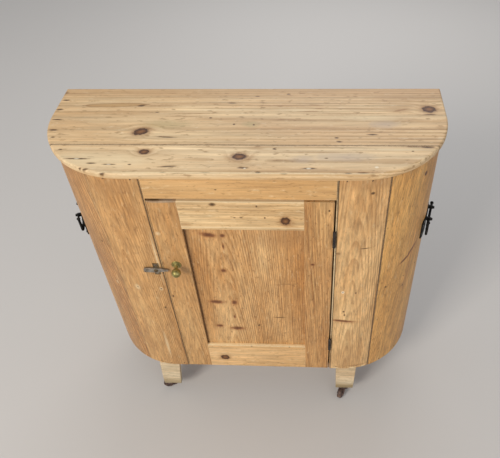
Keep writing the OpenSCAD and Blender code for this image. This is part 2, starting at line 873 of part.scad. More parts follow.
// Bar that turns over the door's edge: a full, blunt thumb end and a narrow catch end
module turn_button() {
  tail_x = thumb_r - button_l / 2;
  tail_z = thumb_w / 2 - thumb_r;
  catch_x = button_l / 2 - catch_r;
  catch_edge = catch_r * 0.95;
  color("#6a625a") translate([button_x, button_y - button_run, body_z + button_z]) rotate([90, 0, 0])
    difference() {
      union() {
        cylinder(r = button_w / 2, h = button_t, $fn = small_fn);
        translate([catch_x, 0, 0]) cylinder(r = catch_r, h = button_t, $fn = small_fn);
        linear_extrude(button_t)
          polygon(concat([[catch_x, -catch_edge], [catch_x, catch_edge], [0, button_w / 2]],
                         quarter(tail_x, tail_z, thumb_r, 90), quarter(tail_x, -tail_z, thumb_r, 180),
                         [[0, -button_w / 2]]));
      }
      translate([0, 0, -eps])
        cylinder(r = rivet_r + turn_gap, h = button_t + 2 * eps, $fn = small_fn);
    }
}

// Side handles, made on the right with x outwards from the wall, y along it and z up
module at_handle(side) {
  on_side(side) translate([centre_x, centre_y, body_z + handle_z])
    rotate([0, 0, handle_angle - 90]) translate([wall_r, 0, 0]) children();
}

// Four screws, one near each corner of the plate
module handle_screw_places() {
  for (s = [-1, 1], v = [-1, 1]) rotate_on_wall(s * (plate_w / 2 - screw_end))
    translate([0, 0, v * (plate_h / 2 - screw_side) - plate_fall]) children();
}

// Turns a child about the corner's axis, so that it stays square to the wall at arc length
module rotate_on_wall(arc) {
  translate([-wall_r, 0, 0]) rotate([0, 0, arc / wall_r * 180 / PI]) translate([wall_r, 0, 0]) children();
}

module handle_screw(grow) {
  rotate([0, -90, 0]) translate([0, 0, -plate_t - eps])
    cylinder(r = screw_r + grow, h = screw_l + eps + grow, $fn = small_fn);
}

ear_root = 3;
handle_head_r = 4.6;
handle_head_t = 2.2;

module handle_screws() {
  color("#2c2c2c") for (side = [-1, 1]) at_handle(side) handle_screw_places() {
    handle_screw(0);
    translate([plate_t, 0, 0]) rotate([0, 90, 0]) dome(handle_head_r, handle_head_t);
  }
}

// Outline of the handle plate with round corners: x along the wall, y up
module plate_outline() {
  x = plate_w / 2 - plate_corner;
  y = plate_h / 2 - plate_corner;
  polygon(concat(quarter(x, y, plate_corner, 0), quarter(-x, y, plate_corner, 90),
                 quarter(-x, -y, plate_corner, 180), quarter(x, -y, plate_corner, 270)));
}

// Prong that carries one end of the bail, from the plate out to its slim tip
module ear() {
  tip_x = ear_reach - ear_tip_r - axis_out;
  root_x = plate_t - ear_root - axis_out;
  t = 90 - asin((ear_r - ear_tip_r) / tip_x);
  linear_extrude(ear_t) polygon(concat(
    [[root_x, -ear_r]], arc(0, 0, ear_r, -90, -t), arc(tip_x, 0, ear_tip_r, -t, t),
    arc(0, 0, ear_r, t, 90), [[root_x, ear_r]]));
}

module handle_plate(side) {
  span = plate_w / wall_r * 180 / PI + 4;
  color("#1e1e1e") at_handle(side) difference() {
    union() {
      intersection() {
        translate([-wall_r, 0, -plate_fall - plate_h / 2]) rotate([0, 0, -span / 2])
          rotate_extrude(angle = span, $fn = round_fn)
            translate([wall_r + bed_gap, 0]) square([plate_t - bed_gap, plate_h]);
        translate([-plate_h / 2, 0, -plate_fall]) rotate([90, 0, 90])
          linear_extrude(plate_h) plate_outline();
      }
      for (s = [-1, 1]) translate([axis_out, s * ear_set + ear_t / 2, 0]) rotate([90, 0, 0]) ear();
    }
    translate([axis_out, -ear_set * 2, 0]) rotate([-90, 0, 0])
      cylinder(r = bail_pin_r + turn_gap, h = ear_set * 4, $fn = small_fn);
    handle_screw_places() handle_screw(screw_gap);
  }
}

// Drop bail: pins through the ears, ball shoulders, arms and a turned grip
module bail(side) {
  grip_bend = bail_r * 2;
  arm_l = bail_drop - grip_bend;
  grip_half = shoulder_set - grip_bend;
  color("#1e1e1e") at_handle(side) translate([axis_out, 0, 0]) {
    for (s = [-1, 1]) {
      translate([0, s * shoulder_set, 0]) sphere(r = shoulder_r, $fn = small_fn);
      translate([0, s * (shoulder_set + ear_set - ear_t) / 2, 0]) rotate([90, 0, 0])
        cylinder(r = bail_pin_r, h = shoulder_set - ear_set + ear_t, center = true, $fn = small_fn);
      translate([0, s * shoulder_set, -arm_l]) cylinder(r = bail_r, h = arm_l, $fn = small_fn);
      translate([0, s * grip_half, -arm_l]) rotate([0, 0, s > 0 ? 0 : 180]) rotate([90, 0, 90])
        rotate([0, 0, -90]) rotate_extrude(angle = 90, $fn = small_fn)
          translate([grip_bend, 0]) circle(r = bail_r, $fn = small_fn);
    }
    translate([0, 0, -bail_drop]) rotate([90, 0, 0]) {
      cylinder(r = bail_r, h = 2 * grip_half, center = true, $fn = small_fn);
      rotate_extrude($fn = small_fn) polygon([
        [0, -grip_half * 0.75], [bail_r, -grip_half * 0.75], [bail_r + grip_swell * 0.7, -grip_half * 0.5],
        [bail_r + grip_swell * 0.1, -grip_half * 0.3], [bail_r + grip_swell, 0],
        [bail_r + grip_swell * 0.1, grip_half * 0.3], [bail_r + grip_swell * 0.7, grip_half * 0.5],
        [bail_r, grip_half * 0.75], [0, grip_half * 0.75]
      ]);
    }
  }
}

top_rear_board();
top_front_board();
frieze_rail();
rear_top_rail();
base_rear_board();
base_front_board();
shelf_rear_board();
shelf_front_board();
former(-1, top_z - former_t);  // left_top_former
former(1, top_z - former_t);  // right_top_former
former(-1, shelf_under - former_t);  // left_shelf_former
former(1, shelf_under - former_t);  // right_shelf_former
left_front_stave();
right_front_stave();
corner_stave(-1, left_seam);  // left_corner_stave
corner_stave(1, right_seam);  // right_corner_stave
side_board(-1);  // left_side_board
side_board(1);  // right_side_board
rear_post(-1);  // left_rear_post
rear_post(1);  // right_rear_post
door_post(-1);  // left_door_post
door_post(1);  // right_door_post
side_lining(-1);  // left_lining
side_lining(1);  // right_lining
left_front_foot();
right_front_foot();
rear_foot(-1);  // left_rear_foot
rear_foot(1);  // right_rear_foot
caster_plates();
horn(0);  // left_front_horn
horn(1);  // right_front_horn
horn(2);  // left_rear_horn
horn(3);  // right_rear_horn
wheel(0);  // left_front_wheel
wheel(1);  // right_front_wheel
wheel(2);  // left_rear_wheel
wheel(3);  // right_rear_wheel
frame_leaf(hinge_high);  // upper_frame_leaf
frame_leaf(hinge_low);  // lower_frame_leaf
hinge_pins();
frame_hinge_screws();
door_leaf(hinge_high);  // upper_door_leaf
door_leaf(hinge_low);  // lower_door_leaf
door_hinge_screws();
stile(-1);  // door_lock_stile
stile(1);  // door_hinge_stile
door_top_rail();
door_bottom_rail();
door_panel();
door_lining();
knob_rose();
knob();
button_plate();
button_screws();
turn_button();
handle_plate(-1);  // left_handle_plate
handle_plate(1);  // right_handle_plate
bail(-1);  // left_bail
bail(1);  // right_bail
handle_screws();
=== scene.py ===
# Visual model of a stripped-pine huffer cupboard with bowed corners, on castered feet.
import bpy
import math
from mathutils import Matrix, Vector


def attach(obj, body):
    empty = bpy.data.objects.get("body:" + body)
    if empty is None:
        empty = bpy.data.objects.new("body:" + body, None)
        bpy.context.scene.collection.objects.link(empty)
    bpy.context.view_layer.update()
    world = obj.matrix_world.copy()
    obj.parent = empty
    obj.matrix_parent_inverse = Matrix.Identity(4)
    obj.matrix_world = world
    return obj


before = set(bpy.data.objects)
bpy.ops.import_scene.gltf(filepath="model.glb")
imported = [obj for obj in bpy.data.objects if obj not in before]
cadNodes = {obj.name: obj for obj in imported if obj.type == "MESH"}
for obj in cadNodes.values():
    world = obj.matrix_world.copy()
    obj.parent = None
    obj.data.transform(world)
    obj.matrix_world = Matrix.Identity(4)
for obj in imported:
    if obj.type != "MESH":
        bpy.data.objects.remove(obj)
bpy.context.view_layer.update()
print("frame loaded:", len(cadNodes), "nodes")

mm = 0.001
# outline of the body's round corners in mm: the arcs' middles, at plus and minus centreX, and their radius
bowedCorner = {"centreX": 282, "centreY": 73, "wallRadius": 232}


def linearColour(hexText):
    values = [int(hexText[i:i + 2], 16) / 255 for i in (1, 3, 5)]
    return [v / 12.92 if v <= 0.04045 else ((v + 0.055) / 1.055) ** 2.4 for v in values] + [1.0]


def addNode(tree, kind, inputs=None, stops=None, **settings):
    # inputs: socket name or index -> value or output socket; stops: colour ramp as (place, grey or hex)
    node = tree.nodes.new(kind)
    for key, value in settings.items():
        setattr(node, key, value)
    for key, value in (inputs or {}).items():
        socket = node.inputs[key]
        if isinstance(value, bpy.types.NodeSocket):
            tree.links.new(value, socket)
        else:
            socket.default_value = value
    if stops:
        ramp = node.color_ramp.elements
        while len(ramp) < len(stops):
            ramp.new(1.0)
        for element, (place, tone) in zip(ramp, stops):
            element.position = place
            element.color = linearColour(tone) if isinstance(tone, str) else (tone, tone, tone, 1.0)
    return node


def newMaterial(name):
    material = bpy.data.materials.new(name)
    material.use_nodes = True
    material.node_tree.nodes.clear()
    return material, material.node_tree


def dress(material, names):
    # CAD nodes keep their mesh and get the material in every slot
    for name in names:
        mesh = cadNodes[name].data
        mesh.materials.clear()
        mesh.materials.append(material)


# camera, set as the photograph was taken: from above, a little right of the middle.
# Place and clipping end in metres, turns in radians, lens and sensor in mm
camera = {"place": (0.1902, -1.2009, 1.9197), "pitch": 0.79671, "yaw": -0.07904, "roll": -0.04376,
          "lens": 41.30, "sensor": 36.0, "shift": (-0.0693, 0.0089), "clipEnd": 60}


def makeCamera(settings):
    pitch, yaw, roll = settings["pitch"], settings["yaw"], settings["roll"]
    ahead = Vector((math.sin(yaw) * math.cos(pitch), math.cos(yaw) * math.cos(pitch), -math.sin(pitch)))
    right = Vector((math.cos(yaw), -math.sin(yaw), 0))
    up = right.cross(ahead)
    side = math.cos(roll) * right + math.sin(roll) * up
    over = -math.sin(roll) * right + math.cos(roll) * up
    data = bpy.data.cameras.new("viewCamera")
    data.lens, data.sensor_width = settings["lens"], settings["sensor"]
    data.shift_x, data.shift_y = settings["shift"]
    data.clip_end = settings["clipEnd"]
    holder = bpy.data.objects.new("viewCamera", data)
    turn = Matrix((side, over, -ahead)).transposed().to_4x4()
    holder.matrix_world = Matrix.Translation(settings["place"]) @ turn
    bpy.context.scene.collection.objects.link(holder)
    bpy.context.scene.camera = holder


makeCamera(camera)
print("camera placed")

# floor and light: pale plain floor, a soft key from the front left and an even sky.
# Places and widths in metres, power in watts; floorHalf is half the floor's width
studio = {
    "floorColour": "#c3c0bd", "floorRough": 0.75, "floorHalf": 30.0,
    "skyColour": "#f4f5f7", "skyStrength": 0.56,
    "lamps": {
        "keyLamp": {"place": (-2.4, -3.7, 3.5), "aim": (0, 0, 0.6), "width": 1.6, "power": 173.0,
                    "colour": "#fff8ee"},
        "fillLamp": {"place": (2.0, -3.4, 1.5), "aim": (0, 0, 0.5), "width": 2.4, "power": 20.0,
                     "colour": "#f7f9ff"},
        "rearLamp": {"place": (0.4, 3.0, 2.4), "aim": (0, 0.1, 0.6), "width": 2.4, "power": 34.0,
                     "colour": "#ffffff"}}}


def makeStudio(settings):
    half = settings["floorHalf"]
    mesh = bpy.data.meshes.new("studioFloor")
    mesh.from_pydata([(-half, -half, 0), (half, -half, 0), (half, half, 0), (-half, half, 0)], [],
                     [(0, 1, 2, 3)])
    floor = bpy.data.objects.new("studioFloor", mesh)
    bpy.context.scene.collection.objects.link(floor)
    material, tree = newMaterial("pale floor paint")
    shader = addNode(tree, "ShaderNodeBsdfPrincipled", {"Base Color": linearColour(settings["floorColour"]),
                                                        "Roughness": settings["floorRough"]})
    addNode(tree, "ShaderNodeOutputMaterial", {"Surface": shader.outputs[0]})
    mesh.materials.append(material)
    for name, lamp in settings["lamps"].items():
        data = bpy.data.lights.new(name, "AREA")
        data.size, data.energy = lamp["width"], lamp["power"]
        data.color = linearColour(lamp["colour"])[:3]
        holder = bpy.data.objects.new(name, data)
        holder.location = lamp["place"]
        ahead = Vector(lamp["aim"]) - Vector(lamp["place"])
        holder.rotation_euler = ahead.to_track_quat("-Z", "Y").to_euler()
        bpy.context.scene.collection.objects.link(holder)
    world = bpy.data.worlds.new("evenSky")
    world.use_nodes = True
    sky = world.node_tree.nodes["Background"].inputs
    sky["Color"].default_value = linearColour(settings["skyColour"])
    sky["Strength"].default_value = settings["skyStrength"]
    bpy.context.scene.world = world


makeStudio(studio)
bpy.context.scene.view_settings.view_transform = "Standard"
print("floor and lamps placed")

# what each kind of mark on the pine looks like, by distance from its middle in its own radii:
# tones and shares up to its reach, how much of the radius the outline wavers by, whether that
# waver is soft, and whether the mark is sunk into the surface
markKinds = {
    # real discolouring; on the staves just under the top this kind also paints the shadow of the top's
    # overhang
    "stainAndShade": {"reach": 1.6, "tones": [(0.0, "#a5794a"), (1.0, "#a5794a")],
              "shares": [(0.0, 0.42), (0.5, 0.32), (1.0, 0.0)], "waver": 1.1, "soft": True},
    "green": {"reach": 1.6, "tones": [(0.0, "#a79a6c"), (1.0, "#a79a6c")],
              "shares": [(0.0, 0.5), (0.5, 0.35), (1.0, 0.0)], "waver": 0.9, "soft": True},
    "grey": {"reach": 1.4, "tones": [(0.0, "#8f8a80"), (1.0, "#8f8a80")],
             "shares": [(0.0, 0.7), (0.6, 0.55), (1.0, 0.0)], "waver": 0.7, "soft": True},
    "mauve": {"reach": 1.5, "tones": [(0.0, "#a89890"), (1.0, "#b8a690")],
              "shares": [(0.0, 0.5), (0.6, 0.35), (1.0, 0.0)], "waver": 1.0, "soft": True},
    "resin": {"reach": 1.5, "tones": [(0.0, "#b48d58"), (0.5, "#ad8450"), (0.64, "#8f6a3c"),
                                      (1.0, "#8f6a3c")],
              "shares": [(0.0, 0.75), (0.5, 0.7), (0.64, 0.8), (0.74, 0.0)], "waver": 0.35, "soft": True},
    # dirt spots; at the door panel's left edge this kind paints the shadow cast into the recess
    "grimeAndShade": {"reach": 1.4, "tones": [(0.0, "#6b4826"), (1.0, "#6b4826")],
              "shares": [(0.0, 0.7), (0.5, 0.5), (1.0, 0.0)], "waver": 0.5},
    # pale patches; on the left front stave also a painted highlight along the edge by the door gap
    "pale": {"reach": 1.6, "tones": [(0.0, "#ead6ae"), (1.0, "#ead6ae")],
             "shares": [(0.0, 0.5), (0.5, 0.36), (1.0, 0.0)], "waver": 0.9, "soft": True},
    # dark joints between staves, and painted shade in the door gaps and the panel's recess
    "seam": {"reach": 1.3, "tones": [(0.0, "#38230f"), (1.0, "#6b4826")],
             "shares": [(0.0, 0.95), (0.5, 0.8), (1.0, 0.0)], "waver": 0.9, "sunk": True},
    "joint": {"reach": 1.3, "tones": [(0.0, "#73512c"), (1.0, "#8f6a40")],
              "shares": [(0.0, 0.85), (0.5, 0.65), (1.0, 0.0)], "waver": 1.6},
    "line": {"reach": 1.3, "tones": [(0.0, "#94693c"), (1.0, "#9c7345")],
             "shares": [(0.0, 0.75), (0.5, 0.6), (1.0, 0.0)], "waver": 1.0},
    "shake": {"reach": 1.5, "tones": [(0.0, "#3b2812"), (0.6, "#684722"), (1.0, "#916838")],
              "shares": [(0.0, 1.0), (0.5, 0.85), (0.75, 0.35), (1.0, 0.0)], "waver": 0.6, "sunk": True},
    "redKnot": {"reach": 2.0, "tones": [(0.0, "#54290f"), (0.35, "#6e3b1a"), (0.5, "#8c542a"),
                                        (1.0, "#b27c48")],
                "shares": [(0.0, 0.95), (0.4, 0.85), (0.6, 0.4), (1.0, 0.0)], "waver": 0.8},
    "knot": {"reach": 2.6, "tones": [(0.0, "#8c5f33"), (0.14, "#784c24"), (0.26, "#5b3514"),
                                     (0.38, "#40230b"), (0.47, "#8a5a30"), (1.0, "#b5824a")],
             "shares": [(0.0, 1.0), (0.37, 1.0), (0.47, 0.6), (0.65, 0.2), (1.0, 0.0)], "waver": 0.8,
             "sunk": True},
    # pale worn arrises, and painted highlights on edges and faces lit from above
    "arris": {"reach": 1.4, "tones": [(0.0, "#f3e0b6"), (1.0, "#ecd5a6")],
              "shares": [(0.0, 0.85), (0.5, 0.6), (1.0, 0.0)], "waver": 1.5},
    "filler": {"reach": 1.4, "tones": [(0.0, "#f1e6cd"), (1.0, "#f1e6cd")],
               "shares": [(0.0, 0.85), (0.6, 0.6), (1.0, 0.0)], "waver": 0.4},
}
# how deep a mark goes into the wood, in its longer radius, and the two noises that shake its outline
markShape = {"depth": 1.5, "softScale": 34.0, "softDetail": 4.0, "hardScale": 150.0, "hardDetail": 3.0}


def nearestMark(tree, spot, rows, flat, waver, noise):
    # distance to the nearest mark in its own radii; an upright face is followed round the corners
    nearest = None
    for row in rows:
        x, y, z, wide, high, tilt = (*row, 0)[:6]  # a row without a tilt gets none
        tilt = math.radians(tilt)
        thick = markShape["depth"] * max(wide, high)
        if flat:
            turn, radii = (0, 0, tilt), (wide, high, thick)
        else:
            beside, before = abs(x) - bowedCorner["centreX"], bowedCorner["centreY"] - y
            bend = math.atan2(max(beside, 0), before) if before > 0 else math.pi / 2
            turn, radii = (0, -tilt, math.copysign(bend, x)), (wide, thick, high)
        held = addNode(tree, "ShaderNodeMapping",
                       {"Vector": spot, "Location": (x * mm, y * mm, z * mm), "Rotation": turn,
                        "Scale": [r * mm for r in radii]}, vector_type="TEXTURE")
        far = addNode(tree, "ShaderNodeVectorMath", {0: held.outputs[0]}, operation="LENGTH").outputs["Value"]
        nearest = far if nearest is None else addNode(tree, "ShaderNodeMath", {0: nearest, 1: far},
                                                      operation="MINIMUM").outputs[0]
    shaken = addNode(tree, "ShaderNodeMath", {0: noise, 1: waver, 2: nearest},
                     operation="MULTIPLY_ADD").outputs[0]
    # a noise lies about 0.5, so half the waver comes off again
    return addNode(tree, "ShaderNodeMath", {0: shaken, 1: -0.5 * waver}, operation="ADD").outputs[0]


def coverBy(tree, value, limits, share, under, over):
    # lays one colour over another where the value is past the first limit, in full share at the second
    cover = addNode(tree, "ShaderNodeMapRange",
                    {0: value, 1: limits[0], 2: limits[1], 3: 0.0, 4: share}).outputs[0]
    return addNode(tree, "ShaderNodeMix", {0: cover, 6: under, 7: over}, data_type="RGBA").outputs[2]


def wearEdges(tree, settings, colour):
    # worn arrises: the bevelled normal leaves the true one only along edges
    rounded = addNode(tree, "ShaderNodeBevel", {"Radius": settings["arris"] * mm}, samples=6).outputs[0]
    facing = addNode(tree, "ShaderNodeNewGeometry")
    agree = addNode(tree, "ShaderNodeVectorMath", {0: rounded, 1: facing.outputs["Normal"]},
                    operation="DOT_PRODUCT")
    worn = coverBy(tree, agree.outputs["Value"], settings["edgeLimits"], settings["edgeWear"], colour,
                   linearColour(settings["edgeTone"]))
    return worn, rounded


# Waxed pine stripped of its old paint: satin, orange-tan on the uprights, with upright grain. Growth rings
# are cylinders about a pith line that the board's face cuts, so a face near the pith's own direction shows
# long arches and one further round shows straight stripes. Over them lie fibres, streaks of tone, dark
# flecks, pale scuffs, and the marks of this very cupboard.
# Lengths are in mm and leans in radians. A scale counts per metre, so 150 is a grain of 6.7 mm: fibres are
# a hundred times finer and are drawn this coarse to show. A stretch is the scale along the grain over the
# one across it, and a noise is spread between its limits.
pineDefaults = {
    "grain": "Z", "flat": False, "pith": (0, 90, 0), "lean": (0.1, 0, 0),
    # growth rings: the width of a year, how they wander and ripple, how years differ, and the late wood
    # through one year
    "ring": 4.6, "wander": 14, "wanderScale": 5.0, "wanderStretch": 0.1,
    "ripple": 5.0, "rippleScale": 34.0, "rippleStretch": 0.07, "yearScale": 0.4, "yearSpread": 1.1,
    "year": [(0.0, 0.0), (0.4, 0.15), (0.8, 0.9), (0.92, 1.0), (1.0, 0.0)],
    "late": "#8f5d2a", "contrast": 0.7, "faintest": 0.15, "bandScale": 13.0, "bandLimits": (0.35, 0.65),
    # round a knot the rings rise by so many years, within so many of its radii
    "lift": 1.6, "reach": 2.2,
    # tones of the wood, and patches of old finish
    "pale": "#d0a974", "warm": "#bb8c55", "toneScale": 11.0, "toneStretch": 0.15, "toneLimits": (0.35, 0.65),
    "patchTone": "#b07a3f", "patchShare": 0.6, "patchScale": 9.0, "patchLimits": (0.46, 0.66),
    "patchSeed": 3.0,
    # fibres and streaks, darker and lighter by their depth, and their stretch
    "fibre": 150, "fibreDepth": 0.34, "streak": 60, "streakDepth": 0.09, "length": 0.1,
    "fibreLimits": (0.3, 0.7),
    # dark flecks, pale scuffs, and darkening low down where a board has it
    "fleck": 210, "fleckShare": 0.65, "fleckTone": "#82552a", "fleckStretch": 0.3, "fleckLimits": (0.6, 0.7),
    "scuff": 110, "scuffShare": 0.45, "scuffTone": "#dcc094", "scuffLimits": (0.58, 0.72), "fade": None,
    # worn arrises, shine, and relief of the late wood and of what is sunk
    "arris": 1.6, "edgeTone": "#e0c595", "edgeWear": 0.6, "edgeLimits": (0.995, 0.82),
    "rough": 0.5, "roughSpread": 0.08, "roughLimits": (0.3, 0.75),
    "relief": 0.4, "reliefHeight": 0.7, "lateRelief": 0.5, "sunkRelief": -1.6,
}
# turns that bring a board's grain along Z
grainTurns = {"X": (0, -math.pi / 2, 0), "Z": (0, 0, 0)}


def grainPlaces(tree, wood, spot):
    # the board with its grain along Z: as it is, stretched for slow changes, and pushed about for the rings
    lean = [a + b for a, b in zip(grainTurns[wood["grain"]], wood["lean"])]
    board = addNode(tree, "ShaderNodeMapping", {"Vector": spot, "Rotation": lean,
                                                "Location": [v * mm for v in wood["pith"]]}).outputs[0]
    slow, quick = (addNode(tree, "ShaderNodeMapping", {"Vector": board, "Scale": (1, 1, stretch)}).outputs[0]
                   for stretch in (wood["wanderStretch"], wood["rippleStretch"]))
    wander = addNode(tree, "ShaderNodeTexNoise", {"Vector": slow, "Scale": wood["wanderScale"],
                                                  "Detail": 2.0, "Roughness": 0.5})
    ripple = addNode(tree, "ShaderNodeTexNoise", {"Vector": quick, "Scale": wood["rippleScale"],
                                                  "Detail": 2.0})
    pushed = board
    for noise, far in ((wander, wood["wander"]), (ripple, wood["ripple"])):
        pushed = addNode(tree, "ShaderNodeVectorMath",
                         {0: noise.outputs["Color"], 1: [far * mm] * 3, 2: pushed},
                         operation="MULTIPLY_ADD").outputs[0]
    return board, slow, pushed


def lateWood(tree, wood, pushed, knots):
    # how much of the late wood of a year lies here; years differ in width
    across = addNode(tree, "ShaderNodeVectorMath", {0: pushed, 1: (1, 1, 0)}, operation="MULTIPLY")
    radius = addNode(tree, "ShaderNodeVectorMath", {0: across.outputs[0]}, operation="LENGTH")
    phase = addNode(tree, "ShaderNodeMath", {0: radius.outputs["Value"], 1: 1 / (wood["ring"] * mm)},
                    operation="MULTIPLY").outputs[0]
    years = addNode(tree, "ShaderNodeTexNoise", {"W": phase, "Scale": wood["yearScale"], "Detail": 1.0},
                    noise_dimensions="1D")
    total = addNode(tree, "ShaderNodeMath", {0: years.outputs["Fac"], 1: wood["yearSpread"], 2: phase},
                    operation="MULTIPLY_ADD").outputs[0]
    if knots is not None:  # the rings swell round the knots
        share = addNode(tree, "ShaderNodeMath", {0: knots, 1: 1 / wood["reach"]}, operation="MULTIPLY")
        square = addNode(tree, "ShaderNodeMath", {0: share.outputs[0], 1: 2.0}, operation="POWER")
        fall = addNode(tree, "ShaderNodeMath", {0: square.outputs[0], 1: -1.0}, operation="MULTIPLY")
        bell = addNode(tree, "ShaderNodeMath", {0: fall.outputs[0]}, operation="EXPONENT")
        total = addNode(tree, "ShaderNodeMath", {0: bell.outputs[0], 1: wood["lift"], 2: total},
                        operation="MULTIPLY_ADD").outputs[0]
    within = addNode(tree, "ShaderNodeMath", {0: total}, operation="FRACT")
    return addNode(tree, "ShaderNodeValToRGB", {0: within.outputs[0]}, stops=wood["year"]).outputs[0]


def cleanWood(tree, wood, board, slow, pushed, late):
    # pale and warm tones, patches of old finish, the rings, then fibres and streaks that darken or lighten
    broad = addNode(tree, "ShaderNodeMapping",
                    {"Vector": board, "Scale": (1, 1, wood["toneStretch"])}).outputs[0]
    tone = addNode(tree, "ShaderNodeTexNoise", {"Vector": broad, "Scale": wood["toneScale"],
                                                "Detail": 4.0, "Roughness": 0.6}).outputs["Fac"]
    colour = coverBy(tree, tone, wood["toneLimits"], 1.0, linearColour(wood["pale"]),
                     linearColour(wood["warm"]))
    # patches where the old finish has stayed darker and more orange
    patch = addNode(tree, "ShaderNodeTexNoise", {"Vector": broad, "Scale": wood["patchScale"], "Detail": 5.0,
                                                 "Roughness": 0.65, "W": wood["patchSeed"]},
                    noise_dimensions="4D").outputs["Fac"]
    colour = coverBy(tree, patch, wood["patchLimits"], wood["patchShare"], colour,
                     linearColour(wood["patchTone"]))
    # where the rings show strongly and where they fade
    band = addNode(tree, "ShaderNodeTexNoise", {"Vector": slow, "Scale": wood["bandScale"], "Detail": 2.0})
    low, high = wood["bandLimits"]
    strength = addNode(tree, "ShaderNodeMapRange",
                       {0: band.outputs["Fac"], 1: low, 2: high, 3: wood["faintest"] * wood["contrast"],
                        4: wood["contrast"]})
    ringShare = addNode(tree, "ShaderNodeMath", {0: late, 1: strength.outputs[0]},
                        operation="MULTIPLY").outputs[0]
    colour = addNode(tree, "ShaderNodeMix", {0: ringShare, 6: colour, 7: linearColour(wood["late"])},
                     data_type="RGBA").outputs[2]
    fine = addNode(tree, "ShaderNodeMapping", {"Vector": pushed, "Scale": (1, 1, wood["length"])}).outputs[0]
    fibre = addNode(tree, "ShaderNodeTexNoise", {"Vector": fine, "Scale": wood["fibre"], "Detail": 5.0,
                                                 "Roughness": 0.72}).outputs["Fac"]
    streak = addNode(tree, "ShaderNodeTexNoise", {"Vector": fine, "Scale": wood["streak"], "Detail": 2.0,
                                                  "Roughness": 0.5}).outputs["Fac"]
    low, high = wood["fibreLimits"]
    shades = [addNode(tree, "ShaderNodeMapRange", {0: noise, 1: low, 2: high, 3: 1 - depth, 4: 1 + depth})
              for noise, depth in ((fibre, wood["fibreDepth"]), (streak, wood["streakDepth"]))]
    shade = addNode(tree, "ShaderNodeMath", {0: shades[0].outputs[0], 1: shades[1].outputs[0]},
                    operation="MULTIPLY")
    colour = addNode(tree, "ShaderNodeVectorMath", {0: colour, "Scale": shade.outputs[0]},
                     operation="SCALE").outputs[0]
    return colour, tone, fibre


def flecksAndScuffs(tree, wood, board, colour):
    # dark flecks along the grain, and pale scuffs
    place = addNode(tree, "ShaderNodeMapping",
                    {"Vector": board, "Scale": (1, 1, wood["fleckStretch"])}).outputs[0]
    fleck = addNode(tree, "ShaderNodeTexNoise", {"Vector": place, "Scale": wood["fleck"], "Detail": 3.0})
    colour = coverBy(tree, fleck.outputs["Fac"], wood["fleckLimits"], wood["fleckShare"], colour,
                     linearColour(wood["fleckTone"]))
    scuff = addNode(tree, "ShaderNodeTexNoise", {"Vector": place, "Scale": wood["scuff"], "Detail": 4.0,
                                                 "Roughness": 0.7})
    return coverBy(tree, scuff.outputs["Fac"], wood["scuffLimits"], wood["scuffShare"], colour,
                   linearColour(wood["scuffTone"]))


def layMarks(tree, near, colour):
    # each kind over the one before, and the greatest share of the sunk kinds
    hollow = None
    for kind, look in markKinds.items():
        if kind not in near:
            continue
        part = addNode(tree, "ShaderNodeMath", {0: near[kind], 1: 1 / look["reach"]},
                       operation="MULTIPLY").outputs[0]
        tone = addNode(tree, "ShaderNodeValToRGB", {0: part}, stops=look["tones"]).outputs[0]
        share = addNode(tree, "ShaderNodeValToRGB", {0: part}, stops=look["shares"]).outputs[0]
        colour = addNode(tree, "ShaderNodeMix", {0: share, 6: colour, 7: tone}, data_type="RGBA").outputs[2]
        if look.get("sunk"):
            hollow = share if hollow is None else addNode(tree, "ShaderNodeMath", {0: hollow, 1: share},
                                                          operation="MAXIMUM").outputs[0]
    return colour, hollow


def darkenTowardsBottom(tree, fade, spot, noise, colour):
    # darkens towards the lower end, between two heights in mm
    height = addNode(tree, "ShaderNodeSeparateXYZ", {0: spot}).outputs[2]
    uneven = addNode(tree, "ShaderNodeMath", {0: noise, 1: fade["uneven"] * mm, 2: height},
                     operation="MULTIPLY_ADD")
    return coverBy(tree, uneven.outputs[0], (fade["high"] * mm, fade["low"] * mm), fade["share"], colour,
                   linearColour(fade["tone"]))


def makePine(name, settings, marks):
    # marks: kind -> rows of x, y, z, half length, half height in mm, and a tilt in degrees where there is one
    wood = dict(pineDefaults, **settings)
    material, tree = newMaterial(name)
    spot = addNode(tree, "ShaderNodeTexCoord").outputs["Object"]
    board, slow, pushed = grainPlaces(tree, wood, spot)
    hard, soft = (addNode(tree, "ShaderNodeTexNoise", {"Vector": spot, "Scale": markShape[kind + "Scale"],
                                                       "Detail": markShape[kind + "Detail"]}).outputs["Fac"]
                  for kind in ("hard", "soft"))
    near = {kind: nearestMark(tree, spot, rows, wood["flat"], markKinds[kind]["waver"],
                              soft if markKinds[kind].get("soft") else hard) for kind, rows in marks.items()}
    late = lateWood(tree, wood, pushed, near.get("knot"))
    colour, tone, fibre = cleanWood(tree, wood, board, slow, pushed, late)
    colour = flecksAndScuffs(tree, wood, board, colour)
    colour, hollow = layMarks(tree, near, colour)
    if wood["fade"]:
        colour = darkenTowardsBottom(tree, wood["fade"], spot, hard, colour)
    colour, rounded = wearEdges(tree, wood, colour)
    low, high = wood["roughLimits"]
    rough = addNode(tree, "ShaderNodeMapRange",
                    {0: tone, 1: low, 2: high, 3: wood["rough"] + wood["roughSpread"],
                     4: wood["rough"] - wood["roughSpread"]})
    relief = addNode(tree, "ShaderNodeMath", {0: late, 1: wood["lateRelief"], 2: fibre},
                     operation="MULTIPLY_ADD").outputs[0]
    if hollow is not None:
        relief = addNode(tree, "ShaderNodeMath", {0: hollow, 1: wood["sunkRelief"], 2: relief},
                         operation="MULTIPLY_ADD").outputs[0]
    bump = addNode(tree, "ShaderNodeBump", {"Height": relief, "Strength": wood["relief"],
                                            "Distance": wood["reliefHeight"] * mm, "Normal": rounded})
    shader = addNode(tree, "ShaderNodeBsdfPrincipled",
                     {"Base Color": colour, "Roughness": rough.outputs[0], "Normal": bump.outputs[0]})
    addNode(tree, "ShaderNodeOutputMaterial", {"Surface": shader.outputs[0]})
    return material
